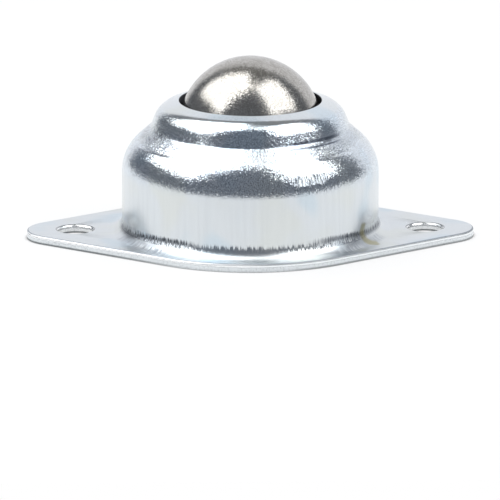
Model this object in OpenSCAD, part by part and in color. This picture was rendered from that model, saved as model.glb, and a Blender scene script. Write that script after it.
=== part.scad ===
// Flange-mounted ball transfer unit: a deep-drawn sheet housing on a two-hole diamond flange,
// holding a load ball that rolls in every direction on a bed of small support balls.
// The origin is on the mounting plane, under the load ball's centre. +Z is up, +X runs through
// both bolt holes. All lengths are in millimetres.

/* [Load ball] */
// Diameter of the load ball
ball_d = 25.4; // [22:0.1:30]
// How much smaller than the load ball the housing's mouth is, on the radius
mouth_hold = 0.15; // [0.1:0.05:0.5]
// Height of the mouth's upper edge above the load ball's centre
mouth_rise = 5.1; // [4.6:0.1:5.8]

/* [Ball race] */
// Diameter of each support ball
support_d = 3.175; // [2.5:0.025:4]
// Running gap between a support ball and what it rolls on
race_play = 0.0125; // [0.01:0.0025:0.05]
// Smallest gap between two neighbouring support balls
pitch_play = 0.02; // [0.01:0.01:0.1]

/* [Load cup] */
// Wall of the hardened cup that the support balls roll in
cup_wall = 1.5; // [1:0.1:2.2]
// Depth that is coined flat off the cup's underside
cup_flat = 0.1; // [0.05:0.05:0.3]
// Gap between the cup's rim and the housing's shelf over it
rim_gap = 0.1; // [0.05:0.05:0.3]

/* [Bottom pan] */
// Thickness of the pan that closes the housing and carries the cup
pan_t = 2.0; // [1.5:0.1:2.5]
// Height of the pan's underside above the mounting plane
pan_recess = 0.5; // [0.2:0.1:1]
// Overall height of the pan
pan_h = 8.0; // [7:0.5:10]
// Outside bend radius between the pan's floor and its skirt
pan_bend = 3.0; // [2.8:0.1:4]
// Radial gap of the pan's skirt in the housing
pan_fit = 0.03; // [0.01:0.01:0.1]

/* [Drawn housing] */
// Thickness of the housing's sheet
sheet_t = 1.5; // [1.2:0.1:1.8]
// Gap between the top row of support balls and the housing's neck, on the radius
neck_gap = 0.2; // [0.15:0.05:0.5]
// Height of the neck's crease above the load ball's centre
crease_rise = 0.3; // [0.2:0.1:1]
// Bend radius of the crease
crease_bend = 0.8; // [0.4:0.1:1.2]
// Height of the cap's corner above the crease
cap_h = 3.6; // [3.2:0.1:4]
// How far the cap's corner stands in from the crease
cap_draw = 1.4; // [1:0.1:1.7]
// Bend radius of the cap
cap_bend = 4.2; // [3:0.1:4.6]
// How far the shelf's outer ridge stands out from the crease
shelf_w = 2.5; // [2.2:0.1:4]
// How far the ridge lies below the crease
shelf_drop = 2.2; // [2:0.1:2.6]
// Bend radius of the ridge
ridge_bend = 2.5; // [2:0.1:4]
// How far the wall stands out from the ridge
shoulder_w = 2.6; // [2.6:0.05:4]
// How far the shoulder's corner lies below the ridge
shoulder_drop = 2.6; // [2.5:0.1:3.5]
// Bend radius of the shoulder
shoulder_bend = 8.0; // [4:0.5:8]
// Rounding of the mouth's upper edge
mouth_round = 0.4; // [0.2:0.05:0.6]
// Bend radius between the wall and the flange
foot_bend = 2.4; // [1.5:0.05:4]

/* [Flange] */
// Diameter of each bolt hole
hole_d = 6.6; // [5.5:0.1:7.5]
// Flat land between the foot bend and a bolt hole
hole_land = 2.6; // [1:0.1:8]
// How far the centre of the tip's arc lies outside the bolt hole's centre
tip_shift = 2.3; // [0:0.1:4]
// Radius of each tip
tip_r = 6.3; // [5.5:0.1:8]
// Flat land between the foot bend and the flange's edge, at its widest point
side_land = 0.5; // [0.1:0.05:3]
// Rounding that blanking leaves on the flange's upper edge
edge_roll = 0.35; // [0.1:0.05:0.5]
// Rounding that punching leaves on a bolt hole's upper edge
hole_roll = 0.2; // [0.1:0.05:0.4]

/* [Hidden] */
$fn = 96;
support_fn = 24;
// Widest step between two points of an arc, in degrees.
arc_step = 5;
// Enough to carry a cut clear through a face.
cut = 1;

ball_r = ball_d / 2;
support_r = support_d / 2;
// Radius of the cup's race and of its outside, both about the load ball's centre.
race_r = ball_r + support_d + 2 * race_play;
cup_r = race_r + cup_wall;
floor_z = pan_recess + pan_t;
ball_z = floor_z + cup_r - cup_flat;

// Corners of the housing's outside, as [radius, height].
mouth = [ball_r - mouth_hold, ball_z + mouth_rise];
crease = [race_r + neck_gap + sheet_t, ball_z + crease_rise];
cap = [crease.x - cap_draw, crease.y + cap_h];
ridge = [crease.x + shelf_w, crease.y - shelf_drop];
shoulder = [ridge.x + shoulder_w, ridge.y - shoulder_drop];
wall_r = shoulder.x;
foot_r = wall_r + foot_bend;

// The cup's rim lies just under the inside of the shelf.
shelf_dir = unit(ridge - crease);
shelf_inside = ridge + sheet_t * right_of(shelf_dir);
shelf_slope = shelf_drop / shelf_w;
rim_z = shelf_inside.y + (shelf_inside.x - cup_r) * shelf_slope - rim_gap;

// The flange's outline: two wide arcs about the origin, two tips and four straight sides.
side_r = foot_r + side_land;
// The rounded edge stays on the land, and the drawn section ends inside it.
flange_roll = min(edge_roll, 0.8 * side_land);
section_r = foot_r + (side_land - flange_roll) / 2;
hole_x = foot_r + hole_land + hole_d / 2;
tip_x = hole_x + tip_shift;
side_angle = asin((side_r - tip_r) / tip_x);

// Support balls lie in rows, from one at the bottom of the cup up to the load ball's equator.
orbit_r = ball_r + race_play + support_r;
half_pitch = (support_d + pitch_play) / 2;
row_gaps = floor(90 / (2 * asin(half_pitch / orbit_r)));
row_step = 90 / row_gaps;
// Rows that carry a straight load. Each of their balls is a node of its own.
load_rows = 3;
load_balls = [for (row = [0 : load_rows - 1]) for (i = [0 : row_count(row) - 1]) [row, i]];

// ---------- Directions, arcs and folded sheet ----------

function unit(v) = v / norm(v);

// The direction to the right of v.
function right_of(v) = [v.y, -v.x];

function turned(v, angle) = [v.x * cos(angle) - v.y * sin(angle), v.x * sin(angle) + v.y * cos(angle)];

function reversed(list) = [for (i = [len(list) - 1 : -1 : 0]) list[i]];

// Points of an arc that starts at centre + from and turns through sweep.
function arc(centre, from, sweep) =
    let (steps = max(1, ceil(abs(sweep) / arc_step)))
    [for (k = [0 : steps]) centre + turned(from, sweep * k / steps)];

// The arc that rounds a corner, from the face that leaves it along a to the one along b.
function corner_arc(corner, a, b, radius) =
    let (half = acos(unit(a) * unit(b)) / 2,
         centre = corner + unit(unit(a) + unit(b)) * radius / sin(half),
         from = corner + unit(a) * radius / tan(half) - centre)
    arc(centre, from, (right_of(a) * b > 0 ? 1 : -1) * (180 - 2 * half));

// A path is a list of [x, y, bend], where bend is the bend radius of the face on the path.
function point(path, i) = [path[i].x, path[i].y];

function heading(path, i) = unit(point(path, i + 1) - point(path, i));

// Points of the arc at corner i, on the face that lies depth below the path.
function bend_face(path, i, depth) =
    let (bend = path[i][2],
         turn = acos(heading(path, i - 1) * heading(path, i)),
         before = right_of(heading(path, i - 1)),
         side = before * heading(path, i) > 0 ? 1 : -1,
         start = point(path, i) - heading(path, i - 1) * bend * tan(turn / 2))
    arc(start + side * bend * before, (depth - side * bend) * before, -side * turn);

// All points of the face that lies depth below the path, on its right.
function path_face(path, depth) =
    let (last = len(path) - 1)
    concat(
        [point(path, 0) + depth * right_of(heading(path, 0))],
        [for (i = [1 : last - 1]) each bend_face(path, i, depth)],
        [point(path, last) + depth * right_of(heading(path, last - 1))]
    );

// ---------- Housing ----------

// Path along the outside of the housing, from the mouth's upper edge out to the flange.
function housing_path() = [
    concat(mouth, 0),
    concat(cap, cap_bend),
    concat(crease, crease_bend),
    concat(ridge, ridge_bend),
    concat(shoulder, shoulder_bend),
    [wall_r, sheet_t, foot_bend],
    [section_r, sheet_t, 0]
];

// The sheet's section. The mouth is pierced straight down, so its edge is upright.
module housing_section() {
    brim = heading(housing_path(), 0);
    outside = path_face(housing_path(), 0);
    inside = path_face(housing_path(), sheet_t);
    mouth_under = mouth - [0, sheet_t / brim.x];
    polygon(concat(
        corner_arc(mouth, [0, -1], brim, mouth_round),
        [for (i = [1 : len(outside) - 1]) outside[i]],
        [for (i = [len(inside) - 1 : -1 : 1]) inside[i]],
        [mouth_under]
    ));
}

// The flange's outline, or a line that runs inset within it.
module flange_outline(inset = 0) {
    tip_sweep = 180 - 2 * side_angle;
    half = concat(
        arc([tip_x, 0], turned([tip_r - inset, 0], -tip_sweep / 2), tip_sweep),
        arc([0, 0], turned([side_r - inset, 0], tip_sweep / 2), 2 * side_angle)
    );
    polygon(concat(half, -half));
}

// The flange's plate. Its upper edge is rounded in three steps, from upright to level.
module flange_plate() {
    hull() for (lean = [0, 45, 90])
        linear_extrude(sheet_t - flange_roll * (1 - sin(lean)))
            flange_outline(flange_roll * (1 - cos(lean)));
}

// A punched hole, rolled at the top.
module punched_hole() {
    translate([0, 0, -cut]) cylinder(d = hole_d, h = sheet_t + 2 * cut);
    rotate_extrude() difference() {
        translate([0, sheet_t - hole_roll]) square([hole_d / 2 + hole_roll, hole_roll + cut]);
        translate([hole_d / 2 + hole_roll, sheet_t - hole_roll]) circle(hole_roll);
    }
}

module housing_shell() {
    color("#c3cbd0") difference() {
        union() {
            rotate_extrude() housing_section();
            difference() {
                flange_plate();
                translate([0, 0, -cut]) cylinder(r = foot_r, h = sheet_t + 2 * cut);
            }
        }
        for (end = [-1, 1]) translate([end * hole_x, 0, 0]) punched_hole();
    }
}

// ---------- Closed inside ----------

module load_cup() {
    color("#8d8f91") rotate_extrude() intersection() {
        translate([0, ball_z]) difference() {
            circle(cup_r);
            circle(race_r);
        }
        translate([0, floor_z]) square([cup_r, rim_z - floor_z]);
    }
}

module bottom_pan() {
    outer_r = wall_r - sheet_t - pan_fit;
    path = [[outer_r, pan_recess + pan_h, 0], [outer_r, pan_recess, pan_bend], [0, pan_recess, 0]];
    color("#bcc3c7") rotate_extrude()
        polygon(concat(path_face(path, 0), reversed(path_face(path, pan_t))));
}

// ---------- Balls ----------

module load_ball() {
    color("#a9a49a") translate([0, 0, ball_z]) sphere(d = ball_d);
}

// How many support balls fit round a row.
function row_count(row) = row == 0 ? 1 : floor(180 / asin(half_pitch / row_radius(row)));

function row_radius(row) = orbit_r * sin(row * row_step);

// Ball i of a row. Every other row starts half a place round, so the rows nest.
module support_ball(row, i) {
    place = 360 / row_count(row);
    color("#b5b1a8") rotate((i + (row % 2) / 2) * place)
        translate([row_radius(row), 0, ball_z - orbit_r * cos(row * row_step)])
            sphere(d = support_d, $fn = support_fn);
}

module return_row(row) {
    for (i = [0 : row_count(row) - 1]) support_ball(row, i);
}

housing_shell();
load_cup();
bottom_pan();
load_ball();
for (n = [1 : len(load_balls)])
    support_ball(load_balls[n - 1][0], load_balls[n - 1][1]);
for (row = [load_rows : row_gaps])
    return_row(row);
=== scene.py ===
"""Ball transfer unit: a load ball in a deep-drawn sheet housing on a two-hole flange.

The housing and the pan under it are drawn as a sheet-metal worker draws them: a section path of
straights and bends, turned about the upright axis, given its sheet thickness and finished at its
cut edges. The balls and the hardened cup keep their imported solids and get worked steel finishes.
The meshes are in metres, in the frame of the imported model, and the pieces' own sizes are written
in millimetres.
"""

from __future__ import annotations

import logging
import math
from dataclasses import dataclass, field
from enum import Enum
from functools import reduce
from typing import Callable, Sequence, Union

import bmesh
import bpy
from mathutils import Matrix, Vector


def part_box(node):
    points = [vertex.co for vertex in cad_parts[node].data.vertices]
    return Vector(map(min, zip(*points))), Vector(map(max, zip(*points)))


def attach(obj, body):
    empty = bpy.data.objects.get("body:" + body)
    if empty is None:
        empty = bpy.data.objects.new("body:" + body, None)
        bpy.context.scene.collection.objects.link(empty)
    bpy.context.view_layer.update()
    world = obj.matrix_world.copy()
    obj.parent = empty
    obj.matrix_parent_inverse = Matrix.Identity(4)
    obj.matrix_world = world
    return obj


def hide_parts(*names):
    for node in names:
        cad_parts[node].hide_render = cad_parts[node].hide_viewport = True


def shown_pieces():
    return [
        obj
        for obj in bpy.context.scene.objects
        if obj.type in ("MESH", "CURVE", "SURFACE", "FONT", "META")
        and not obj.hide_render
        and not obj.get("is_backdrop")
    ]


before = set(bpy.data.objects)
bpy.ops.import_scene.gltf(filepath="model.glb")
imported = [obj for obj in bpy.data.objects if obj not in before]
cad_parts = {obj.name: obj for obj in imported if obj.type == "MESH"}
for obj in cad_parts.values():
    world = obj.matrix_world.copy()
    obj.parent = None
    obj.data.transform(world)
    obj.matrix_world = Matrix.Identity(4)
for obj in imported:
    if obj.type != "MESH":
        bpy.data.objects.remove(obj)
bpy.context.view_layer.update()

LOG = logging.getLogger("ball_transfer_unit")
MM = 0.001
LEAST = 1e-7  # A straight that is shorter, in metres, isn't drawn.
SQUARE = math.radians(50)  # Two faces that meet at more than this make a square edge.
ROUND = math.radians(40)  # Two faces that meet at less than this are shaded as one.
WHITE = (1.0, 1.0, 1.0)

# Sizes that several classes need, in millimetres.
SHEET = 1.5  # Thickness of the housing's sheet, and height of the flange's upper face.
HOLE_X = 31.0  # Distance of each bolt hole from the upright axis.
HOLE_R = 3.3  # Radius of each bolt hole.
SLACK = 0.01  # How far a point may lie from where it is looked for.

UP = Vector((0, 0, 1))
ACROSS = Vector((0, 1, 0))
Socket = bpy.types.NodeSocket
Feed = Union[Socket, float, Sequence[float]]
Colour = tuple[float, float, float]
Place = tuple[float, float, float]
Span = tuple[float, float]


class Side(Enum):
    """The two ends of the flange, and the two sides that the softboxes stand on."""

    LEFT = -1
    RIGHT = 1


# ---------- Mesh work ----------


@dataclass(frozen=True)
class Corner:
    """A corner of a section path, where its two straights would meet.

    Attributes:
        out: Distance from the upright axis, in millimetres.
        up: Height above the mounting plane, in millimetres.
        bend: Bend radius on the path, in millimetres.
    """

    out: float
    up: float
    bend: float = 0.0

    def place(self) -> Vector:
        """Returns the corner's point in the XZ plane, in metres."""
        return Vector((self.out * MM, 0, self.up * MM))


class Pen:
    """Draws a line of edges in edit mode: straight by extruding a vertex, round by spinning it."""

    def __init__(self, name: str, start: Vector, step: float = 3.0) -> None:
        """Starts a piece from a plane that is merged to one vertex.

        Args:
            name: The new piece's name.
            start: The line's first point.
            step: Widest turn between two points of an arc, in degrees.
        """
        deselect_all()
        bpy.ops.mesh.primitive_plane_add(size=MM)
        self.piece = bpy.context.object
        self.piece.name = name
        self.step = math.radians(step)
        self.at = start.copy()
        bpy.ops.object.mode_set(mode="EDIT")
        bpy.ops.mesh.select_mode(type="VERT")
        bpy.ops.mesh.merge(type="CENTER")
        bpy.ops.transform.translate(value=start)

    def straight(self, end: Vector) -> None:
        """Draws a straight, unless the pen is at its end already.

        Args:
            end: The point that it goes to.
        """
        if (end - self.at).length < LEAST:
            return
        bpy.ops.mesh.extrude_region_move(TRANSFORM_OT_translate={"value": end - self.at})
        self.at = end.copy()

    def arc(self, centre: Vector, axis: Vector, angle: float) -> None:
        """Draws an arc about a centre.

        Args:
            centre: The arc's centre.
            axis: Unit axis that the arc turns about.
            angle: Right-handed turn about the axis, in radians.
        """
        steps = max(1, math.ceil(abs(angle) / self.step))
        bpy.ops.mesh.spin(steps=steps, angle=-angle, center=centre, axis=axis)
        self.at = centre + Matrix.Rotation(angle, 3, axis) @ (self.at - centre)

    def path(self, corners: Sequence[Corner]) -> None:
        """Draws a section path in the XZ plane, with a round bend at each inner corner.

        Args:
            corners: The path's corners. The pen stands at the first.
        """
        for before, corner, after in zip(corners, corners[1:], corners[2:]):
            come = (corner.place() - before.place()).normalized()
            go = (after.place() - corner.place()).normalized()
            turn, bend = come.angle(go), corner.bend * MM
            axis = ACROSS if come.cross(go).y > 0 else -ACROSS
            self.straight(corner.place() - come * bend * math.tan(turn / 2))
            self.arc(self.at + axis.cross(come) * bend, axis, turn)
        self.straight(corners[-1].place())

    def turn_round(self, steps: int) -> None:
        """Turns all that is drawn a full circle about the upright axis and closes the seam.

        Args:
            steps: Number of faces round the circle.
        """
        bpy.ops.mesh.select_all(action="SELECT")
        bpy.ops.mesh.spin(steps=steps, angle=math.tau, center=(0, 0, 0), axis=UP)
        merge_points()

    def lift(self) -> bpy.types.Object:
        """Leaves edit mode and returns the piece."""
        bpy.ops.object.mode_set(mode="OBJECT")
        return self.piece


def deselect_all() -> None:
    """Deselects every object."""
    bpy.ops.object.select_all(action="DESELECT")


def take(piece: bpy.types.Object) -> None:
    """Makes a piece the only one selected and the active one.

    Args:
        piece: The piece.
    """
    deselect_all()
    piece.select_set(True)
    bpy.context.view_layer.objects.active = piece


def merge_points() -> None:
    """Merges, in edit mode, the points that lie on each other."""
    bpy.ops.mesh.select_all(action="SELECT")
    bpy.ops.mesh.remove_doubles(threshold=MM / 1000)


def choose_edges(piece: bpy.types.Object, test: Callable[[bmesh.types.BMEdge], bool]) -> None:
    """Selects, in edit mode, only the edges that pass a test.

    Args:
        piece: The piece, in edit mode.
        test: Says whether an edge is wanted.
    """
    bpy.ops.mesh.select_mode(type="EDGE")
    bpy.ops.mesh.select_all(action="DESELECT")
    mesh = bmesh.from_edit_mesh(piece.data)
    for edge in filter(test, mesh.edges):
        edge.select_set(True)
    mesh.select_flush(True)
    bmesh.update_edit_mesh(piece.data)


def turn_faces(piece: bpy.types.Object, upward: bool, beyond: float = 0.0) -> None:
    """Makes the faces agree, in edit mode, and turns all of them over if they face the wrong way.

    Args:
        piece: The piece, in edit mode.
        upward: Whether the judged faces are to look up, and not down.
        beyond: Distance from the axis beyond which faces are judged, in metres.
    """
    bpy.ops.mesh.select_all(action="SELECT")
    bpy.ops.mesh.normals_make_consistent(inside=False)
    faces = bmesh.from_edit_mesh(piece.data).faces
    rise = sum(f.normal.z for f in faces if f.calc_center_median().xy.length > beyond)
    if (rise > 0) != upward:
        bpy.ops.mesh.flip_normals()


def middle_of(edge: bmesh.types.BMEdge) -> Vector:
    """Returns an edge's middle."""
    return (edge.verts[0].co + edge.verts[1].co) / 2


def sharp_ring(
    up: float, near: Callable[[Vector], bool] = lambda middle: True
) -> Callable[[bmesh.types.BMEdge], bool]:
    """Makes a test for the square edges at one height.

    Args:
        up: Height of the edges, in millimetres.
        near: Says whether an edge's middle lies where it is wanted, which is anywhere if left out.

    Returns:
        The test, for choose_edges.
    """

    def test(edge: bmesh.types.BMEdge) -> bool:
        """Says whether an edge is such a square edge.

        Args:
            edge: The edge.

        Returns:
            Whether it is one.
        """
        level = all(abs(vertex.co.z - up * MM) < 2 * SLACK * MM for vertex in edge.verts)
        square = len(edge.link_faces) == 2 and edge.calc_face_angle() > SQUARE
        return level and square and near(middle_of(edge))

    return test


def round_edges(reach: float, segments: int, slot: int = -1) -> None:
    """Rounds the selected edges.

    Args:
        reach: How far the rounding reaches along each face, in millimetres.
        segments: Number of faces across the rounding.
        slot: Material slot that the rounding takes, or -1 for its neighbours' slots.
    """
    bpy.ops.mesh.bevel(offset=reach * MM, segments=segments, profile=0.5, affect="EDGES", material=slot)


def thicken(piece: bpy.types.Object, sheet: float) -> None:
    """Gives a surface its sheet thickness on its inner side, with cut edges in the second slot.

    Args:
        piece: The surface.
        sheet: The thickness, in millimetres.
    """
    wall = piece.modifiers.new("sheet", "SOLIDIFY")
    wall.thickness = sheet * MM
    wall.offset = -1
    wall.use_even_offset = True
    wall.use_quality_normals = True
    wall.material_offset_rim = 1
    take(piece)
    bpy.ops.object.modifier_apply(modifier=wall.name)


def smooth(piece: bpy.types.Object) -> None:
    """Shades a piece smooth across its bends, with its flats kept flat.

    Args:
        piece: The piece.
    """
    take(piece)
    bpy.ops.object.shade_smooth_by_angle(angle=ROUND)
    flats = piece.modifiers.new("flats", "WEIGHTED_NORMAL")
    flats.keep_sharp = True
    flats.weight = 60
    bpy.ops.object.modifier_apply(modifier=flats.name)


# ---------- Material work ----------


@dataclass(frozen=True)
class Ring:
    """A ring about the upright axis that a mark follows, in millimetres.

    Attributes:
        out: Its radius.
        up: Its height.
        reach: How far from it the mark fades out.
    """

    out: float
    up: float
    reach: float


class Wiring:
    """Writes the nodes of one tree, one call for each step."""

    def __init__(self, tree: bpy.types.NodeTree) -> None:
        """Takes a tree and empties it."""
        self.tree = tree
        self.tree.nodes.clear()

    def node(self, kind: str) -> bpy.types.Node:
        """Adds a node."""
        return self.tree.nodes.new(kind)

    def feed(self, target: Socket, value: Feed) -> None:
        """Links a socket to another, or writes a constant on it.

        Args:
            target: The socket that is fed.
            value: The other socket, a number, a vector or a colour.
        """
        if isinstance(value, bpy.types.NodeSocket):
            self.tree.links.new(value, target)
        elif target.type == "RGBA":
            target.default_value = (*value, 1)
        else:
            target.default_value = value

    def sum(self, operation: str, *values: Feed, clamp: bool = False) -> Socket:
        """Adds a Math node.

        Args:
            operation: The Math node's operation.
            *values: Its inputs, in order.
            clamp: Whether the result is kept between 0 and 1.

        Returns:
            The result.
        """
        node = self.node("ShaderNodeMath")
        node.operation = operation
        node.use_clamp = clamp
        for target, value in zip(node.inputs, values):
            self.feed(target, value)
        return node.outputs[0]

    def times(self, *values: Feed) -> Feed:
        """Multiplies numbers."""
        return reduce(lambda product, value: self.sum("MULTIPLY", product, value), values)

    def plus(self, *values: Feed) -> Feed:
        """Adds numbers."""
        return reduce(lambda total, value: self.sum("ADD", total, value), values)

    def most(self, *values: Feed) -> Feed:
        """Returns the largest of some numbers."""
        return reduce(lambda largest, value: self.sum("MAXIMUM", largest, value), values)

    def minus(self, first: Feed, second: Feed) -> Socket:
        """Takes the second number from the first."""
        return self.sum("SUBTRACT", first, second)

    def size(self, value: Feed) -> Socket:
        """Returns a number without its sign."""
        return self.sum("ABSOLUTE", value)

    def vector(self, operation: str, *values: Feed, scale: Feed = 1.0) -> Socket:
        """Adds a Vector Math node.

        Args:
            operation: The node's operation.
            *values: Its vector inputs, in order.
            scale: Its scale, for the operation SCALE.

        Returns:
            The result, a number for LENGTH, DISTANCE and DOT_PRODUCT.
        """
        node = self.node("ShaderNodeVectorMath")
        node.operation = operation
        for target, value in zip(node.inputs, values):
            self.feed(target, value)
        if operation == "SCALE":
            self.feed(node.inputs["Scale"], scale)
        number = operation in ("LENGTH", "DISTANCE", "DOT_PRODUCT")
        return node.outputs["Value" if number else "Vector"]

    def step(self, value: Feed, low: float, high: float, start: float = 0.0, end: float = 1.0) -> Socket:
        """Maps a value smoothly from one range to another, and holds it at both ends.

        Args:
            value: The value.
            low: Start of its range.
            high: End of its range.
            start: The result at the start and before it.
            end: The result at the end and beyond it.

        Returns:
            The result.
        """
        node = self.node("ShaderNodeMapRange")
        node.interpolation_type = "SMOOTHSTEP"
        for target, number in zip(node.inputs[:5], (value, low, high, start, end)):
            self.feed(target, number)
        return node.outputs[0]

    def band(self, value: Feed, rise: Span, fall: Span) -> Socket:
        """Returns 1 between a rise and a fall of a value, and 0 outside them."""
        return self.times(self.step(value, *rise), self.step(value, *fall, 1.0, 0.0))

    def mix(self, share: Feed, first: Feed, second: Feed) -> Socket:
        """Mixes two colours.

        Args:
            share: Share of the second colour.
            first: The first colour.
            second: The second colour.

        Returns:
            The mixed colour.
        """
        node = self.node("ShaderNodeMix")
        node.data_type = "RGBA"
        self.feed(node.inputs[0], share)
        self.feed(node.inputs[6], first)
        self.feed(node.inputs[7], second)
        return node.outputs[2]


class Recipe(Wiring):
    """Writes a material's nodes. Lengths and places inside it are in millimetres."""

    def __init__(self, name: str) -> None:
        """Starts an empty material with one shader.

        Args:
            name: The material's name.
        """
        self.material = bpy.data.materials.new(name)
        self.material.use_nodes = True
        super().__init__(self.material.node_tree)
        self.shader = self.node("ShaderNodeBsdfPrincipled")
        output = self.node("ShaderNodeOutputMaterial")
        self.feed(output.inputs["Surface"], self.shader.outputs["BSDF"])
        coordinates = self.node("ShaderNodeTexCoord").outputs["Object"]
        self.place = self.vector("SCALE", coordinates, scale=1 / MM)
        parts = self.node("ShaderNodeSeparateXYZ")
        self.feed(parts.inputs[0], self.place)
        self.x, self.y, self.z = parts.outputs
        flat = self.vector("MULTIPLY", self.place, (1, 1, 0))
        self.out = self.vector("LENGTH", flat)
        self.bearing = self.vector("NORMALIZE", flat)

    def put(self, name: str, value: Feed) -> None:
        """Feeds one of the shader's own sockets."""
        self.feed(self.shader.inputs[name], value)

    def lay(self, colour: Feed, *marks: tuple[Feed, Colour]) -> Feed:
        """Lays marks over a colour, one on the other.

        Args:
            colour: The colour below.
            *marks: Where each mark is, from 0 to 1, and its colour.

        Returns:
            The colour with its marks.
        """
        for share, mark in marks:
            colour = self.mix(share, colour, mark)
        return colour

    def clouds(self, vector: Feed, size: float, detail: float, rough: float = 0.5) -> bpy.types.Node:
        """Adds a noise node.

        Args:
            vector: Where it is read.
            size: Size of its blotches, in the vector's own unit.
            detail: Octaves of finer noise.
            rough: Weight of the finer octaves.

        Returns:
            The node.
        """
        node = self.node("ShaderNodeTexNoise")
        self.feed(node.inputs["Vector"], vector)
        node.inputs["Scale"].default_value = 1 / size
        node.inputs["Detail"].default_value = detail
        node.inputs["Roughness"].default_value = rough
        return node

    def noise(self, vector: Feed, size: float, detail: float = 2.0, rough: float = 0.5) -> Socket:
        """Returns the grey of a noise node, about 0.5. Its inputs are those of clouds."""
        return self.clouds(vector, size, detail, rough).outputs["Fac"]

    def ring(self, ring: Ring, core: float = 0.35) -> Socket:
        """Returns a mark along a ring.

        Args:
            ring: The ring.
            core: Share of its reach over which the mark is full.

        Returns:
            1 on the ring, falling to 0 at its reach.
        """
        across, along = self.minus(self.out, ring.out), self.minus(self.z, ring.up)
        away = self.sum("SQRT", self.plus(self.times(across, across), self.times(along, along)))
        return self.step(away, ring.reach * core, ring.reach, 1.0, 0.0)

    def spot(self, centre: Place, radius: float, core: float = 0.5) -> Socket:
        """Returns 1 inside a ball about a point, falling to 0 over the outer part of its radius."""
        return self.step(self.vector("DISTANCE", self.place, centre), radius * core, radius, 1.0, 0.0)

    def streaks(self, size: float, length: float) -> Socket:
        """Returns a noise drawn out along the sheet's drawing direction.

        Args:
            size: Width of a streak, in millimetres at a radius of 20.
            length: Length of a streak, in millimetres.

        Returns:
            The noise, about 0.5.
        """
        round_about = self.vector("SCALE", self.bearing, scale=20 / size)
        upward = self.vector("MULTIPLY", self.place, (0, 0, 1 / length))
        return self.noise(self.vector("ADD", round_about, upward), 1.0, 2.0, 0.6)

    def grains(self, size: float, tilt: Feed) -> Socket:
        """Returns the small tilt that a grain gives the surface.

        Args:
            size: Size of the grain, in millimetres.
            tilt: How far it tilts the surface.

        Returns:
            A vector to add to the normal.
        """
        away = self.vector("SUBTRACT", self.clouds(self.place, size, 1.0).outputs["Color"], (0.5, 0.5, 0.5))
        return self.vector("SCALE", away, scale=tilt)

    def lean(self, amount: Feed, grains: Socket) -> Socket:
        """Leans the surface's normal.

        Args:
            amount: How far it leans upwards.
            grains: The tilt of its grain.

        Returns:
            The leaned normal.
        """
        normal = self.node("ShaderNodeNewGeometry").outputs["Normal"]
        shift = self.vector("ADD", self.vector("SCALE", (0, 0, 1), scale=amount), grains)
        return self.vector("NORMALIZE", self.vector("ADD", normal, shift))

    def bump(self, height: Feed, depth: float) -> Socket:
        """Adds a bump.

        Args:
            height: The relief, from 0 to 1.
            depth: Depth of the whole relief, in millimetres.

        Returns:
            The bumped normal.
        """
        node = self.node("ShaderNodeBump")
        node.inputs["Strength"].default_value = 1.0
        node.inputs["Distance"].default_value = depth * MM
        self.feed(node.inputs["Height"], height)
        return node.outputs["Normal"]


def roll_dark_reflection(mix: Recipe) -> Socket:
    """Finds the painted dark reflection on the flange's rolled edge: its upper part on the left, all of it on
    the right.

    Args:
        mix: The material's recipe.

    Returns:
        The share of the painted dark reflection, from 0 to 1.
    """
    roll = mix.band(mix.z, (SHEET - 0.3, SHEET - 0.2), (SHEET - 0.02, SHEET - 0.002))
    left = mix.step(mix.z, SHEET - 0.14, SHEET - 0.08, 0.15, 0.65)
    return mix.times(roll, mix.most(left, mix.step(mix.x, -4.0, 4.0, 0.0, 0.75)))


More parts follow.
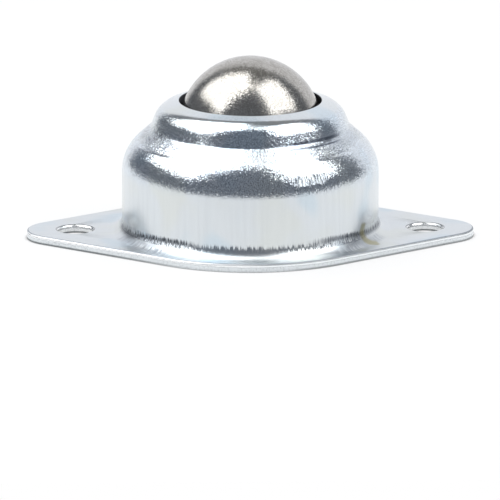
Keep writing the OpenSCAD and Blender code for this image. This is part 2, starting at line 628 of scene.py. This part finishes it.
@dataclass(frozen=True)
class DrawnZinc:
    """Bright zinc plate on deep-drawn sheet, with drawing marks at its bends.

    It is smooth on the flange and the wall, and sandy from the shoulder up to the cap. Its sizes,
    heights, rings and places are in millimetres.

    Attributes:
        colour: Colour of the plating above the wall.
        wall: Its colour on the wall and the flange.
        cool: Tint of its faintly bluer patches.
        warm: Tint of its faintly yellower patches.
        marks_and_reflection: Colour of the hair marks and the die's scratched lines, and of the painted dark
            reflection on the roll.
        painted_foot_band: Dark colour painted along the foot's ends as a dark reflection band.
        speck: Colour of the dark speck on the shelf.
        stain: Colour of the dried passivation drip at the foot.
        roughness: Roughness between the grain, above the wall.
        grain: Size of the orange-peel grain.
        roll: Heights over which the rolled edge turns into the flange's face.
        foot_bend: Heights over which the flange's finish turns into the wall's.
        shoulder_bend: Heights over which the wall's finish turns sandy.
        cap_top: Heights over which the cap's top turns smooth again.
        foot: Ring of the hair marks above the foot.
        toe: Ring of those below it, at the two ends of the front.
        crease: Ring of those in the crease.
        shoulder: Ring of those on the right of the shoulder.
        ridge: Ring of the bright lines at the two ends of the shelf's ridge.
        neck: Ring of the stronger grain at the two ends of the crease.
        scores: Rings of the two lines that the die's edge scratched.
        speck_at: Place of the speck.
        drip_about: Centre that the drip's line curves about.
        drip_at: Middle of the stained part of that line.
    """

    colour: Colour = (0.68, 0.735, 0.785)
    wall: Colour = (0.72, 0.755, 0.775)
    cool: Colour = (0.90, 0.96, 1.0)
    warm: Colour = (1.0, 0.99, 0.95)
    marks_and_reflection: Colour = (0.2, 0.23, 0.28)
    painted_foot_band: Colour = (0.07, 0.08, 0.1)
    speck: Colour = (0.05, 0.055, 0.06)
    stain: Colour = (0.36, 0.33, 0.16)
    roughness: float = 0.14
    grain: float = 0.2
    roll: Span = (SHEET - 0.1, SHEET - 0.001)
    foot_bend: Span = (SHEET + 0.1, SHEET + 1.5)
    shoulder_bend: Span = (11.5, 14.0)
    cap_top: Span = (23.2, 23.9)
    foot: Ring = Ring(22.9, 3.3, 1.1)
    toe: Ring = Ring(24.0, 2.1, 1.35)
    crease: Ring = Ring(18.2, 19.6, 2.0)
    shoulder: Ring = Ring(22.0, 14.9, 1.3)
    ridge: Ring = Ring(20.15, 17.75, 0.4)
    neck: Ring = Ring(18.9, 18.9, 1.6)
    scores: tuple[Ring, ...] = (Ring(17.45, 20.5, 0.36), Ring(18.1, 19.68, 0.24))
    speck_at: Place = (-11.0, -15.8, 18.35)
    drip_about: Place = (20.95, -9.9, 3.4)
    drip_at: Place = (19.9, -12.2, 2.6)

    def make(self) -> bpy.types.Material:
        """Writes the material.

        Returns:
            The material.
        """
        mix = Recipe("drawn_zinc")
        above = mix.step(mix.z, *self.shoulder_bend)
        sandy = mix.times(above, mix.step(mix.z, *self.cap_top, 1.0, 0.15))
        marks = self.find_marks(mix)
        hairs = mix.step(mix.streaks(0.15, 2.5), 0.38, 0.62)
        tint = mix.lay(
            self.tint_plating(mix, sandy),
            (mix.times(hairs, marks, 0.56), self.marks_and_reflection),
            # painted dark reflection band along the foot's ends, broken by the hair marks
            (self.find_painted_foot_band(mix, hairs), self.painted_foot_band),
            (self.find_scores(mix), self.marks_and_reflection),
            (mix.spot(self.speck_at, 0.24), self.speck),
            (self.find_drip(mix), self.stain),
            # painted dark reflection on the rolled edge, darker on the right
            (roll_dark_reflection(mix), self.marks_and_reflection),
        )
        mix.put("Base Color", tint)
        mix.put("Metallic", 1.0)
        flange = mix.minus(mix.step(mix.z, *self.roll, 0.6, 0.35), mix.step(mix.z, *self.foot_bend, 0.0, 0.1))
        below = mix.times(flange, mix.minus(1.0, above))
        mix.put("Roughness", mix.plus(below, mix.times(above, self.roughness)))
        mix.put("Normal", self.tilt_surface(mix, sandy, marks, hairs))
        return mix.material

    def tint_plating(self, mix: Recipe, sandy: Socket) -> Socket:
        """Tints the bare plating with its long streaks, its patches and its sandy speckle.

        Args:
            mix: The material's recipe.
            sandy: How sandy the plating is.

        Returns:
            The plating's colour.
        """
        streaks = mix.times(mix.step(mix.streaks(0.4, 14.0), 0.35, 0.7), 0.045)
        tint = mix.mix(streaks, mix.mix(sandy, self.wall, self.colour), self.marks_and_reflection)
        patch = mix.noise(mix.place, 9.0, 1.0)
        warm = mix.mix(mix.step(patch, 0.5, 0.68), WHITE, self.warm)
        cool = mix.mix(mix.step(patch, 0.32, 0.48), self.cool, WHITE)
        tint = mix.vector("MULTIPLY", mix.vector("MULTIPLY", tint, warm), cool)
        speckle = mix.times(mix.minus(mix.noise(mix.place, 0.14, 1.0, 0.7), 0.5), sandy)
        return mix.vector("SCALE", tint, scale=mix.plus(mix.times(speckle, 2.2), 1.0))

    def tilt_surface(self, mix: Recipe, sandy: Socket, marks: Socket, hairs: Socket) -> Socket:
        """Tilts the surface by its grain, its hair marks and the bright lines on its ridge.

        Args:
            mix: The material's recipe.
            sandy: How sandy the plating is.
            marks: Where the dies rubbed.
            hairs: The hair marks.

        Returns:
            The surface's normal.
        """
        ends = mix.step(mix.size(mix.x), 10.5, 13.0)
        steep = mix.step(mix.z, 2.0, 3.2, 0.55, 0.85)
        tilt = mix.times(mix.minus(hairs, 0.5), marks, steep)
        bright = mix.times(mix.ring(self.ridge), ends, 0.3)
        rubbed = mix.times(mix.ring(self.neck), ends, 0.6)
        wall = mix.step(mix.z, *self.foot_bend, 0.0, 0.03)
        grains = mix.grains(self.grain, mix.plus(mix.times(sandy, 0.5), rubbed, wall))
        return mix.lean(mix.plus(tilt, bright), grains)

    def find_marks(self, mix: Recipe) -> Socket:
        """Finds where the dies rubbed: foot and crease, most at their ends, and the shoulder's right.

        Args:
            mix: The material's recipe.

        Returns:
            How strong the hair marks are.
        """
        across = mix.size(mix.x)
        ends = mix.step(across, 9.0, 17.0, 0.3, 0.9)
        corners = mix.times(mix.step(across, 13.0, 17.0, 0.0, 1.2), mix.step(mix.y, -9.0, -6.0, 1.0, 0.0))
        return mix.most(
            mix.times(mix.ring(self.foot), ends),
            mix.times(mix.ring(self.toe), corners),
            mix.times(mix.ring(self.crease), ends, 0.7),
            mix.times(mix.ring(self.shoulder), mix.band(mix.x, (5.5, 8.0), (11.5, 14.0)), 0.8),
        )

    def find_painted_foot_band(self, mix: Recipe, hairs: Socket) -> Socket:
        """Finds the painted dark reflection band along the foot's ends, broken by hair marks.

        Args:
            mix: The material's recipe.
            hairs: The hair marks.

        Returns:
            How strong the painted band is.
        """
        across = mix.size(mix.x)
        height = mix.plus(
            mix.step(across, 15.0, 23.0, 3.65, 2.75),
            mix.step(mix.x, 0.0, 14.0, 0.0, 0.35),
            mix.times(mix.minus(hairs, 0.5), 0.4),
        )
        line = mix.step(mix.size(mix.minus(mix.z, height)), 0.15, 0.6, 0.9, 0.0)
        line = mix.times(line, mix.step(mix.out, 24.0, 24.3, 1.0, 0.0))
        front = mix.times(mix.step(across, 9.0, 14.0), mix.step(mix.y, -4.0, 0.0, 1.0, 0.0))
        return mix.times(line, front, mix.plus(mix.times(hairs, 0.4), 0.6))

    def find_scores(self, mix: Recipe) -> Socket:
        """Returns the two thin lines that the die's edge scratched along the right of the crease."""
        lines = mix.most(*(mix.ring(score) for score in self.scores))
        return mix.times(lines, mix.band(mix.x, (4.0, 9.0), (14.0, 16.5)), 0.9)

    def find_drip(self, mix: Recipe) -> Socket:
        """Finds the curved, dried drip on the right side of the foot.

        Args:
            mix: The material's recipe.

        Returns:
            How strong the stain is.
        """
        away = mix.vector("DISTANCE", mix.place, self.drip_about)
        wavy = mix.plus(away, mix.times(mix.noise(mix.place, 0.8), 0.5))
        line = mix.step(mix.size(mix.minus(wavy, 2.95)), 0.4, 1.1, 0.7, 0.0)
        return mix.times(line, mix.spot(self.drip_at, 3.0, 0.8))


@dataclass(frozen=True)
class CutEdge:
    """The sheet's punched edge, plated over: a burnished band, and on the outline a torn one below it.

    Attributes:
        burnished: Colour of the smooth upper band, and of the holes' edges.
        torn: Colour of the rough lower band, which the upper one nearly takes on the right.
        pitted: Colour of the pits in the rough band.
        broken: Colour of the line between the bands.
        shaded: Colour of the painted shade at its foot and of the painted dark reflection on its roll.
        mouth: Near-black painted shade on the mouth's edge, which stands in the gap round the ball.
        break_line: Height of the line between the bands, in millimetres.
    """

    burnished: Colour = (0.99, 1.0, 1.0)
    torn: Colour = (0.95, 0.98, 0.99)
    pitted: Colour = (0.42, 0.44, 0.45)
    broken: Colour = (0.3, 0.32, 0.34)
    shaded: Colour = (0.24, 0.26, 0.27)
    mouth: Colour = (0.035, 0.038, 0.045)
    break_line: float = 0.9

    def make(self) -> bpy.types.Material:
        """Writes the material.

        Returns:
            The material.
        """
        mix = Recipe("cut_edge")
        ragged = mix.times(mix.minus(mix.noise(mix.place, 0.7, 3.0, 0.6), 0.5), 0.3)
        height = mix.plus(mix.z, ragged)
        above = mix.step(height, self.break_line - 0.05, self.break_line + 0.05)
        level = mix.vector("MULTIPLY", mix.vector("ABSOLUTE", mix.place), (1, 1, 0))
        from_hole = mix.vector("DISTANCE", level, (HOLE_X, 0, 0))
        in_hole = mix.step(from_hole, HOLE_R + 0.3, HOLE_R + 0.6, 1.0, 0.0)
        outer = mix.minus(1.0, in_hole)
        tint = mix.lay(
            self.tint_bands(mix, height, above, in_hole),
            # painted shade at the foot, and painted dark reflection on the roll
            (self.find_foot(mix, in_hole, outer), self.shaded),
            (self.find_roll_reflection(mix, in_hole, outer), self.shaded),
            # near-black painted shade on the mouth's edge, in the gap round the ball
            (mix.step(mix.z, 20.0, 21.0), self.mouth),
        )
        mix.put("Base Color", tint)
        mix.put("Metallic", 1.0)
        turned = mix.times(mix.step(mix.z, 1.12, 1.2), outer, 0.35)
        mix.put("Roughness", mix.plus(mix.step(above, 0.0, 1.0, 0.6, 0.2), turned))
        left = mix.times(mix.step(mix.x, -10.0, -4.0, 0.45, 0.0), outer)
        domed = mix.times(mix.step(mix.z, 1.05, 1.17), mix.most(mix.times(in_hole, 0.75), left))
        mix.put("Normal", mix.lean(domed, mix.grains(0.2, mix.step(above, 0.0, 1.0, 0.4, 0.05))))
        return mix.material

    def tint_bands(self, mix: Recipe, height: Socket, above: Socket, in_hole: Socket) -> Socket:
        """Tints the two bands, the pits and the line between the bands.

        Args:
            mix: The material's recipe.
            height: Height on the edge, made ragged.
            above: Whether a point is in the upper band.
            in_hole: Whether it is in a bolt hole.

        Returns:
            The colour.
        """
        upper = mix.mix(mix.step(mix.x, -4.0, 4.0, 0.0, 0.8), self.burnished, self.torn)
        upper = mix.mix(in_hole, upper, self.burnished)
        lower = mix.mix(in_hole, self.torn, self.burnished)
        tear = mix.noise(mix.vector("MULTIPLY", mix.place, (1, 1, 0.35)), 0.16, 3.0, 0.7)
        pits = mix.times(mix.step(tear, 0.5, 0.75), mix.sum("SUBTRACT", 0.6, above, clamp=True))
        line = mix.step(mix.size(mix.minus(height, self.break_line)), 0.04, 0.13, 0.75, 0.0)
        line = mix.times(line, mix.plus(mix.times(in_hole, 0.65), 0.35))
        return mix.lay(mix.mix(above, lower, upper), (pits, self.pitted), (line, self.broken))

    def find_foot(self, mix: Recipe, in_hole: Socket, outer: Socket) -> Socket:
        """Finds the painted shade at the foot of the edge, on the outline's sides and in the holes.

        Args:
            mix: The material's recipe.
            in_hole: Whether a point is in a bolt hole.
            outer: Whether it is on the outline.

        Returns:
            How much painted shade it takes.
        """
        # Painted shade, strongest on the left, faint in the middle and half as strong on the right.
        sides = mix.plus(mix.step(mix.x, -28.0, -8.0, 0.85, 0.1), mix.step(mix.x, 4.0, 12.0, 0.0, 0.5))
        foot = mix.times(mix.step(mix.z, 0.2, 0.42, 1.0, 0.0), sides, outer)
        return mix.most(foot, mix.times(mix.step(mix.z, 0.16, 0.32, 0.95, 0.0), in_hole))

    def find_roll_reflection(self, mix: Recipe, in_hole: Socket, outer: Socket) -> Socket:
        """Returns how much painted dark reflection lies on the roll at the edge's top, in the holes and on
        the outline.
        """
        rim = mix.times(mix.step(mix.z, 1.33, 1.38, 0.0, 0.85), in_hole)
        return mix.plus(rim, mix.times(roll_dark_reflection(mix), outer))


@dataclass(frozen=True)
class PlainZinc:
    """Zinc plate on the pan, dulled by the press and never in view from above.

    Attributes:
        colour: Colour of the plating.
        dull: Colour of its rubbed patches.
    """

    colour: Colour = (0.62, 0.665, 0.69)
    dull: Colour = (0.52, 0.55, 0.56)

    def make(self) -> bpy.types.Material:
        """Writes the material.

        Returns:
            The material.
        """
        mix = Recipe("pan_zinc")
        patch = mix.noise(mix.place, 5.0, 3.0, 0.6)
        rings = mix.noise(mix.vector("SCALE", mix.bearing, scale=0.4), 1.0, 1.0)
        rubbed = mix.step(mix.plus(patch, mix.times(rings, 0.2)), 0.5, 0.8)
        mix.put("Base Color", mix.mix(rubbed, self.colour, self.dull))
        mix.put("Metallic", 1.0)
        mix.put("Roughness", mix.step(patch, 0.3, 0.7, 0.26, 0.4))
        mix.put("Normal", mix.bump(mix.noise(mix.place, 0.25, 3.0, 0.65), 0.014))
        return mix.material


@dataclass(frozen=True)
class GroundSteel:
    """Hardened ball or race steel with a satin, slightly pitted surface.

    Attributes:
        name: Name of the material.
        colour: Colour of the steel.
        shade: Colour of its darker grain.
        grain: Size of the grain, in millimetres.
        relief: How far the grain tilts the surface.
        roughness: Roughness between the grain.
    """

    name: str
    colour: Colour
    shade: Colour
    grain: float
    relief: float
    roughness: float

    def make(self) -> bpy.types.Material:
        """Writes the material.

        Returns:
            The material.
        """
        mix = Recipe(self.name)
        speckle = mix.noise(mix.place, self.grain, 2.0, 0.7)
        broad = mix.noise(mix.place, self.grain * 12)
        scratch = mix.noise(mix.vector("MULTIPLY", mix.place, (6.0, 0.5, 3.0)), 1.6, 4.0, 0.7)
        worn = mix.step(mix.plus(speckle, mix.times(broad, 0.3)), 0.5, 0.75)
        mix.put("Base Color", mix.mix(worn, self.colour, self.shade))
        mix.put("Metallic", 1.0)
        mix.put("Roughness", mix.step(scratch, 0.35, 0.75, self.roughness, self.roughness + 0.1))
        mix.put("Normal", mix.lean(0.0, mix.grains(self.grain, self.relief)))
        return mix.material


# ---------- Sub-assemblies ----------


@dataclass
class DrawnHousing:
    """The deep-drawn housing with its flange, one pressed sheet. Sizes are in millimetres.

    Attributes:
        sheet: Thickness of the sheet.
        mouth: Mouth's upper edge.
        bends: Corners of the outside, from the cap down to the foot.
        side_r: Radius of the flange's two wide arcs.
        tip_x: Distance of each tip's centre from the axis.
        tip_r: Radius of each tip.
        hole_x: Distance of each bolt hole from the axis.
        hole_r: Radius of each bolt hole.
        mouth_roll: Rounding of the mouth's upper edge.
        edge_roll: Rounding that punching leaves on the flange's upper edge.
        hole_roll: The same at the bolt holes.
        burr: Rounding of the lower edges.
        steps: Faces round the body.
        hole_steps: Faces round each bolt hole.
        piece: The finished sheet.
    """

    sheet: float = SHEET
    mouth: Corner = Corner(12.55, 24.9)
    bends: tuple[Corner, ...] = (
        Corner(16.2, 23.7, 4.2),
        Corner(17.6, 20.1, 0.8),
        Corner(20.1, 17.9, 2.5),
        Corner(22.7, 15.3, 8.0),
        Corner(22.7, SHEET, 2.4),
        Corner(25.17, SHEET),
    )
    side_r: float = 25.57
    tip_x: float = 33.3
    tip_r: float = 6.3
    hole_x: float = HOLE_X
    hole_r: float = HOLE_R
    mouth_roll: float = 0.29
    edge_roll: float = 0.35
    hole_roll: float = 0.2
    burr: float = 0.1
    steps: int = 180
    hole_steps: int = 96
    piece: bpy.types.Object = field(init=False)

    def build(self) -> None:
        """Builds the housing: the drawn body, the flange round it, the thickness and the edges."""
        outline = self.draw_outline()
        pen = Pen("drawn_housing", self.mouth.place())
        pen.path((self.mouth, *self.bends))
        pen.turn_round(self.steps)
        self.piece = pen.lift()
        take(self.piece)
        outline.select_set(True)
        bpy.ops.object.join()
        self.fill_flange()
        self.piece.data.materials.append(DrawnZinc().make())
        self.piece.data.materials.append(CutEdge().make())
        thicken(self.piece, self.sheet)
        self.finish_mouth()
        self.finish_edges()
        smooth(self.piece)

    def draw_outline(self) -> bpy.types.Object:
        """Draws the flange's outline and its two bolt holes, at the height of its upper face.

        Returns:
            The piece that the lines are in.
        """
        level = UP * self.sheet * MM
        lean = math.asin((self.side_r - self.tip_r) / self.tip_x)
        tip_turn = math.pi - 2 * lean
        back, on = (Matrix.Rotation(way * tip_turn / 2, 3, UP) for way in (-1, 1))
        start = Vector((self.tip_x, 0, 0)) + back @ Vector((self.tip_r, 0, 0))
        flank = on @ Vector((self.side_r, 0, 0))
        pen = Pen("flange_outline", start * MM + level)
        for side in (Side.RIGHT, Side.LEFT):
            pen.straight(side.value * start * MM + level)
            pen.arc(Vector((side.value * self.tip_x, 0, 0)) * MM + level, UP, tip_turn)
            pen.straight(side.value * flank * MM + level)
            pen.arc(level, UP, 2 * lean)
        pen.straight(start * MM + level)
        merge_points()
        for side in Side:
            centre, radius = (side.value * self.hole_x * MM, 0, level.z), self.hole_r * MM
            bpy.ops.mesh.primitive_circle_add(vertices=self.hole_steps, radius=radius, location=centre)
        return pen.lift()

    def fill_flange(self) -> None:
        """Fills the flange between the body, the outline and the holes, facing up."""
        foot = (self.bends[-1].out + SLACK) * MM

        def bounds_flange(edge: bmesh.types.BMEdge) -> bool:
            """Says whether an edge is drawn as a line, or is the body's lower edge."""
            low = all(v.co.z < 2 * MM and v.co.xy.length < foot for v in edge.verts)
            return edge.is_wire or (edge.is_boundary and low)

        bpy.ops.object.mode_set(mode="EDIT")
        choose_edges(self.piece, bounds_flange)
        bpy.ops.mesh.fill(use_beauty=True)
        merge_points()
        turn_faces(self.piece, upward=True, beyond=foot)
        bpy.ops.object.mode_set(mode="OBJECT")

    def finish_mouth(self) -> None:
        """Makes the mouth's edge upright, as a piercing punch leaves it, and rounds it."""
        slope = (self.bends[0].place() - self.mouth.place()).normalized()
        inner = self.mouth.place() + ACROSS.cross(slope) * self.sheet * MM

        def is_inner(edge: bmesh.types.BMEdge) -> bool:
            """Says whether an edge runs round the mouth on the sheet's inner side."""
            places = (Vector((v.co.xy.length, 0, v.co.z)) for v in edge.verts)
            return all((place - inner).length < SLACK * MM for place in places)

        def in_mouth(middle: Vector) -> bool:
            """Says whether a point lies at the mouth."""
            return middle.xy.length < (self.mouth.out + 0.1) * MM

        bpy.ops.object.mode_set(mode="EDIT")
        choose_edges(self.piece, is_inner)
        grow = self.mouth.out * MM / inner.x
        bpy.ops.transform.resize(value=(grow, grow, 1), center_override=(0, 0, 0))
        bpy.ops.transform.translate(value=(0, 0, (self.mouth.out * MM - inner.x) * slope.z / slope.x))
        choose_edges(self.piece, sharp_ring(self.mouth.up, in_mouth))
        round_edges(self.mouth_roll, 6)
        bpy.ops.object.mode_set(mode="OBJECT")

    def finish_edges(self) -> None:
        """Rolls the upper edges of the flange and its holes, and breaks the lower ones."""
        holes = [Vector((side.value * self.hole_x * MM, 0)) for side in Side]

        def at_hole(middle: Vector) -> bool:
            """Says whether a point lies at a bolt hole."""
            return min((middle.xy - hole).length for hole in holes) < (self.hole_r + 0.1) * MM

        bpy.ops.object.mode_set(mode="EDIT")
        choose_edges(self.piece, sharp_ring(self.sheet, lambda middle: not at_hole(middle)))
        round_edges(self.edge_roll, 6)
        choose_edges(self.piece, sharp_ring(self.sheet, at_hole))
        round_edges(self.hole_roll, 4, slot=1)
        choose_edges(self.piece, sharp_ring(0))
        round_edges(self.burr, 2)
        choose_edges(self.piece, self.bounds_flat)
        bpy.ops.mesh.mark_sharp()
        bpy.ops.object.mode_set(mode="OBJECT")

    def bounds_flat(self, edge: bmesh.types.BMEdge) -> bool:
        """Says whether an edge bounds one of the flange's two level faces, outside the foot.

        Args:
            edge: The edge.

        Returns:
            Whether it does.
        """
        level = sum(abs(face.normal.z) > 0.99999 for face in edge.link_faces)
        return level == 1 and middle_of(edge).xy.length > (self.bends[-1].out + 2 * SLACK) * MM

    def dress(self) -> None:
        """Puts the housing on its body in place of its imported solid."""
        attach(self.piece, "housing")
        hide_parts("housing_shell")


@dataclass
class ClosingPan:
    """The pressed pan that closes the housing from below. Sizes are in millimetres.

    Attributes:
        sheet: Thickness of the pan.
        corners: Corners of its outside, from its rim in to the axis.
        rim_roll: Rounding of its rim.
        steps: Faces round it.
        piece: The finished pan.
    """

    sheet: float = 2.0
    corners: tuple[Corner, ...] = (Corner(21.17, 8.5), Corner(21.17, 0.5, 3.0), Corner(0.4, 0.5))
    rim_roll: float = 0.2
    steps: int = 144
    piece: bpy.types.Object = field(init=False)

    def build(self) -> None:
        """Builds the pan: its section turned round, closed at the axis and given its thickness."""
        pen = Pen("closing_pan", self.corners[0].place())
        pen.path(self.corners)
        pen.turn_round(self.steps)
        choose_edges(pen.piece, lambda edge: edge.is_boundary and edge.verts[0].co.z < MM)
        bpy.ops.mesh.edge_face_add()
        turn_faces(pen.piece, upward=False)
        self.piece = pen.lift()
        self.piece.data.materials.append(PlainZinc().make())
        thicken(self.piece, self.sheet)
        bpy.ops.object.mode_set(mode="EDIT")
        choose_edges(self.piece, sharp_ring(self.corners[0].up))
        round_edges(self.rim_roll, 3)
        bpy.ops.object.mode_set(mode="OBJECT")
        smooth(self.piece)

    def dress(self) -> None:
        """Puts the pan on the housing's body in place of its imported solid."""
        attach(self.piece, "housing")
        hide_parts("bottom_pan")


@dataclass
class Rolling:
    """The load ball, the support balls and the hardened cup that they roll in.

    Attributes:
        ball: Finish of the load ball.
        support: Finish of the support balls.
        cup: Finish of the cup.
        parts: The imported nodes, each with its finish.
    """

    ball: GroundSteel = GroundSteel(
        "ball_steel", (0.57, 0.555, 0.525), (0.36, 0.345, 0.315), grain=0.19, relief=0.32, roughness=0.14
    )
    support: GroundSteel = GroundSteel(
        "support_steel", (0.58, 0.56, 0.52), (0.46, 0.44, 0.40), grain=0.12, relief=0.1, roughness=0.1
    )
    cup: GroundSteel = GroundSteel(
        "cup_steel", (0.42, 0.42, 0.41), (0.30, 0.295, 0.285), grain=0.3, relief=0.2, roughness=0.25
    )
    parts: dict[str, GroundSteel] = field(default_factory=dict)

    def build(self) -> None:
        """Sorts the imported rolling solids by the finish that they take."""
        steels = {
            "load_ball": self.ball,
            "load_cup": self.cup,
            "support_ball": self.support,
            "return_balls": self.support,
        }
        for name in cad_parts:
            for start, steel in steels.items():
                if name.startswith(start):
                    self.parts[name] = steel

    def dress(self) -> None:
        """Gives each packed rolling solid its finish."""
        made = {steel: steel.make() for steel in (self.ball, self.support, self.cup)}
        for name, steel in self.parts.items():
            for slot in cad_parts[name].material_slots:
                slot.material = made[steel]
            LOG.info("%s keeps its solid, in %s", name, made[steel].name)


# ---------- Studio ----------


@dataclass(frozen=True)
class Softbox:
    """A large rectangular softbox that leans over the object.

    Attributes:
        side: The side that it stands on.
        centre: Its centre from the load ball, in metres.
        facing: Direction from the object to its plane.
        long_axis: Direction of its long side.
        width: Its width, in metres.
        height: Its height, in metres.
        radiance: Its brightness.
    """

    side: Side
    centre: Place
    facing: Place
    long_axis: Place
    width: float
    height: float
    radiance: float

    def build(self, about: Vector) -> None:
        """Hangs the softbox about a point.

        Args:
            about: The point, in metres.
        """
        lamp = bpy.data.lights.new(f"softbox_{self.side.name.lower()}", "AREA")
        lamp.shape = "RECTANGLE"
        lamp.size, lamp.size_y = self.width, self.height
        lamp.energy = self.radiance * math.pi * self.width * self.height
        hung = bpy.data.objects.new(lamp.name, lamp)
        bpy.context.scene.collection.objects.link(hung)
        z_axis = Vector(self.facing).normalized()
        y_axis = Vector(self.long_axis)
        y_axis = (y_axis - z_axis * y_axis.dot(z_axis)).normalized()
        x_axis = y_axis.cross(z_axis)
        turn = Matrix((x_axis, y_axis, z_axis)).transposed().to_4x4()
        hung.matrix_world = Matrix.Translation(about + Vector(self.centre)) @ turn
        hung.visible_camera = False


@dataclass(frozen=True)
class Glow:
    """A soft-edged lit area of the surround, as the metal sees it.

    Attributes:
        toward: Direction of its middle.
        start: Cosine of the angle from its middle at which it starts.
        full: Cosine of the angle within which it is full.
        colour: Its colour.
    """

    toward: Place
    start: float
    full: float
    colour: Colour


@dataclass
class Studio:
    """Plain pale floor, two softboxes, a white surround and the camera.

    Attributes:
        elevation: Height of the camera above the horizon, in degrees.
        swing: How far the camera stands round to the right, in degrees.
        distance: Distance of the camera from the point that it looks over, in metres.
        lens: Focal length, in millimetres.
        sensor: Width of the sensor, in millimetres.
        reach: Nearest and farthest distance that the camera sees, in metres.
        dip: How far below that point the camera is aimed, in degrees.
        target: The point that the camera looks over, in metres.
        softboxes: The two softboxes.
        room: Colour of the room round the studio.
        glows: The lit areas of the room: its ceiling, the light between the boxes and the backdrop.
        floor: Colour of the floor.
        floor_size: Width and depth of the floor, in metres.
        floor_back: How far behind the object the floor's middle lies, in metres.
        contact: How far from the object the floor's contact shade reaches, in millimetres.
    """

    elevation: float = 13.55
    swing: float = -1.45
    distance: float = 1.0
    lens: float = 407.4
    sensor: float = 36.0
    reach: Span = (0.01, 20.0)
    dip: float = 0.974
    target: Place = (-0.00006, 0, 0.015)
    softboxes: tuple[Softbox, ...] = (
        Softbox(
            Side.LEFT,
            centre=(-0.732, 0.076, 1.934),
            facing=(-0.866, 0, 0.5),
            long_axis=(0.5, 0, 0.866),
            width=1.88,
            height=2.61,
            radiance=2.5,
        ),
        Softbox(
            Side.RIGHT,
            centre=(0.938, -0.278, 1.514),
            facing=(0.757, -0.402, 0.515),
            long_axis=(-0.357, 0.4055, 0.841),
            width=1.36,
            height=1.78,
            radiance=2.5,
        ),
    )
    room: Colour = (0.185, 0.198, 0.225)
    glows: tuple[Glow, ...] = (
        Glow((0.0, 0.5, 0.87), 0.85, 0.97, (0.27, 0.27, 0.27)),
        Glow((0.0, -0.1, 1.0), 0.965, 0.99, (0.8, 0.8, 0.79)),
        Glow((0.22, 0.95, 0.14), 0.65, 0.76, (0.95, 0.96, 1.0)),
    )
    floor: Colour = (0.86, 0.87, 0.88)
    floor_size: Span = (3.0, 1.84)
    floor_back: float = 0.77
    contact: float = 1.2

    def build(self) -> None:
        """Builds the floor, the lights and the camera."""
        low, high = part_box("load_ball")
        for softbox in self.softboxes:
            softbox.build((low + high) / 2)
        self.lay_floor()
        self.light_surround()
        self.set_camera()

    def lay_floor(self) -> None:
        """Lays the pale floor, with a narrow contact shade round the object."""
        deselect_all()
        bpy.ops.mesh.primitive_plane_add(size=1)
        floor = bpy.context.object
        floor.name = "floor"
        bpy.ops.object.mode_set(mode="EDIT")
        bpy.ops.transform.resize(value=(*self.floor_size, 1))
        bpy.ops.transform.translate(value=(0, self.floor_back, 0))
        bpy.ops.object.mode_set(mode="OBJECT")
        mix = Recipe("pale_floor")
        corner = mix.node("ShaderNodeAmbientOcclusion")
        corner.samples = 8
        corner.inputs["Distance"].default_value = self.contact * MM
        shade = mix.step(corner.outputs["AO"], 0.35, 0.75, 0.3, 1.0)
        seen = mix.node("ShaderNodeLightPath").outputs
        mirrored = mix.times(mix.most(seen["Is Glossy Ray"], seen["Is Transmission Ray"]), 0.5)
        white = mix.most(mix.times(seen["Is Camera Ray"], 0.75), mirrored)
        lit = mix.times(mix.minus(1.0, white), shade)
        mix.put("Base Color", mix.vector("SCALE", self.floor, scale=lit))
        mix.put("Roughness", 1.0)
        mix.put("Specular IOR Level", 0.0)
        mix.put("Emission Color", WHITE)
        mix.put("Emission Strength", mix.times(white, shade))
        floor.data.materials.append(mix.material)
        floor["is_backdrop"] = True

    def light_surround(self) -> None:
        """Makes the surround: white to the camera, a pale backdrop and a dim room to the metal."""
        world = bpy.data.worlds.new("surround")
        bpy.context.scene.world = world
        world.use_nodes = True
        sky = Wiring(world.node_tree)
        direction = sky.node("ShaderNodeTexCoord").outputs["Generated"]
        colour: Feed = self.room
        for glow in self.glows:
            near = sky.vector("DOT_PRODUCT", direction, Vector(glow.toward).normalized())
            colour = sky.mix(sky.step(near, glow.start, glow.full), colour, glow.colour)
        seen = sky.node("ShaderNodeLightPath").outputs["Is Camera Ray"]
        background = sky.node("ShaderNodeBackground")
        sky.feed(background.inputs["Color"], sky.mix(seen, colour, WHITE))
        sky.feed(sky.node("ShaderNodeOutputWorld").inputs["Surface"], background.outputs[0])

    def set_camera(self) -> None:
        """Sets the camera and the view transform."""
        lean, swing, dip = (math.radians(angle) for angle in (self.elevation, self.swing, self.dip))
        back = Vector((math.sin(swing) * math.cos(lean), -math.cos(swing) * math.cos(lean), math.sin(lean)))
        right = Vector((math.cos(swing), math.sin(swing), 0))
        above = back.cross(right)
        y_axis = above * math.cos(dip) - back * math.sin(dip)
        z_axis = back * math.cos(dip) + above * math.sin(dip)
        turn = Matrix((right, y_axis, z_axis)).transposed().to_4x4()
        camera = bpy.data.objects.new("camera", bpy.data.cameras.new("camera"))
        bpy.context.scene.collection.objects.link(camera)
        camera.data.lens = self.lens
        camera.data.sensor_width = self.sensor
        camera.data.clip_start, camera.data.clip_end = self.reach
        camera.matrix_world = Matrix.Translation(Vector(self.target) + back * self.distance) @ turn
        bpy.context.scene.camera = camera
        bpy.context.scene.view_settings.view_transform = "Standard"


def main() -> None:
    """Builds and dresses the sub-assemblies in order and reports each piece."""
    logging.basicConfig(level=logging.INFO, format="%(name)s: %(message)s")
    for unit in (DrawnHousing(), ClosingPan(), Rolling()):
        unit.build()
        unit.dress()
        LOG.info("%s is built", type(unit).__name__)
    Studio().build()
    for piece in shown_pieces():
        LOG.info("%s: %d faces", piece.name, len(piece.data.polygons))


if __name__ == "__main__":
    main()
